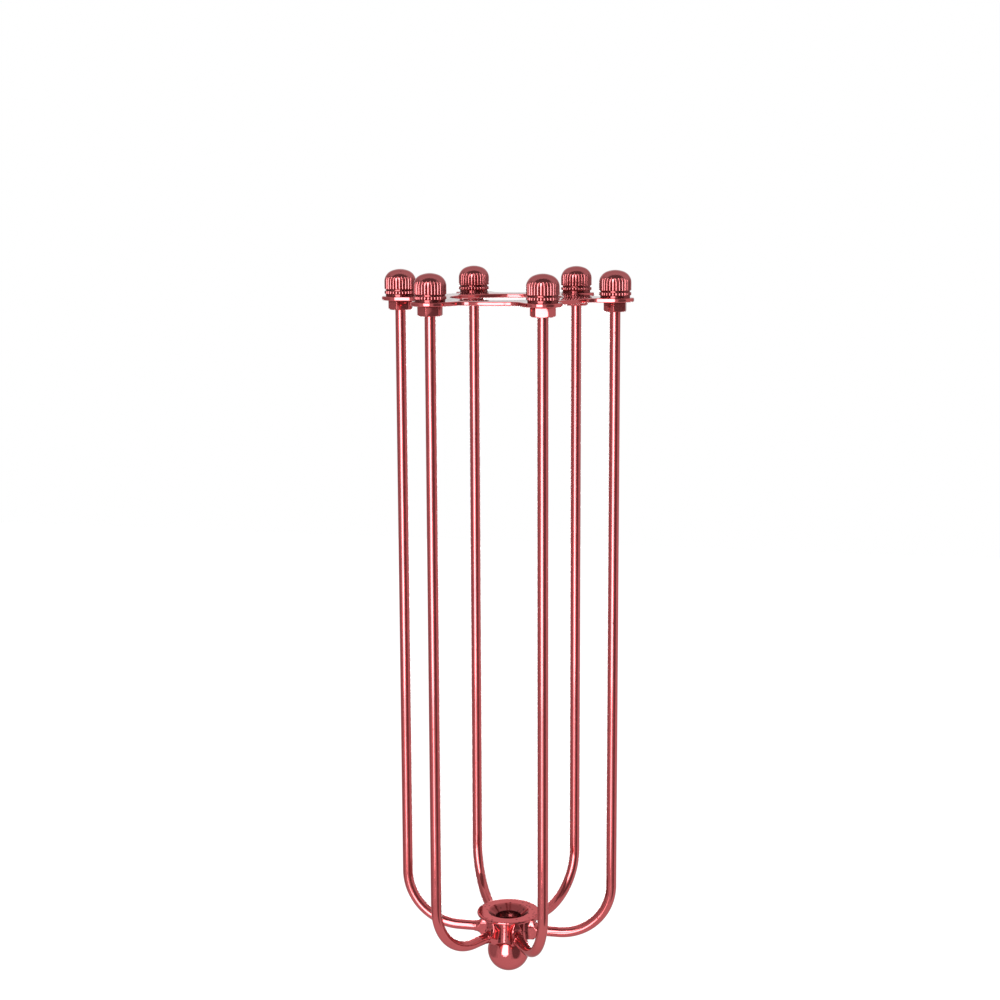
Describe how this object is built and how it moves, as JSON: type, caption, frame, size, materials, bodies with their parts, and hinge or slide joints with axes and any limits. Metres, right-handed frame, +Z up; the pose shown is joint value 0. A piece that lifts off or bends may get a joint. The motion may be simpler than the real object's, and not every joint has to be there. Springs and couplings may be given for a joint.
{
  "type": "cage lampshade",
  "caption": "Tall open cage lampshade: a lobed ring hangs on a lampholder and carries bent rods, held by knurled cap nuts and hex nuts, that meet below at a hub with a ball finial.",
  "frame": {"origin": "centre of the lampholder hole, on the ring plate's top face", "axes": "+Z up, along the hole's axis and the cage; +X towards one of the rods"},
  "size_m": [0.096, 0.085, 0.2768],
  "materials": {
    "red_plate": "clear red lacquer over bright plated steel, mirror gloss",
    "screw_steel": "bright zinc-plated steel"
  },
  "bodies": {
    "root": {"ring_plate": "red_plate", "rod_1": "red_plate", "rod_2": "red_plate", "rod_3": "red_plate", "rod_4": "red_plate", "rod_5": "red_plate", "rod_6": "red_plate", "cap_nut_1": "red_plate", "cap_nut_2": "red_plate", "cap_nut_3": "red_plate", "cap_nut_4": "red_plate", "cap_nut_5": "red_plate", "cap_nut_6": "red_plate", "hex_nut_1": "red_plate", "hex_nut_2": "red_plate", "hex_nut_3": "red_plate", "hex_nut_4": "red_plate", "hex_nut_5": "red_plate", "hex_nut_6": "red_plate", "hub": "red_plate", "ball_finial": "red_plate", "finial_screw": "screw_steel"}
  },
  "joints": []
}
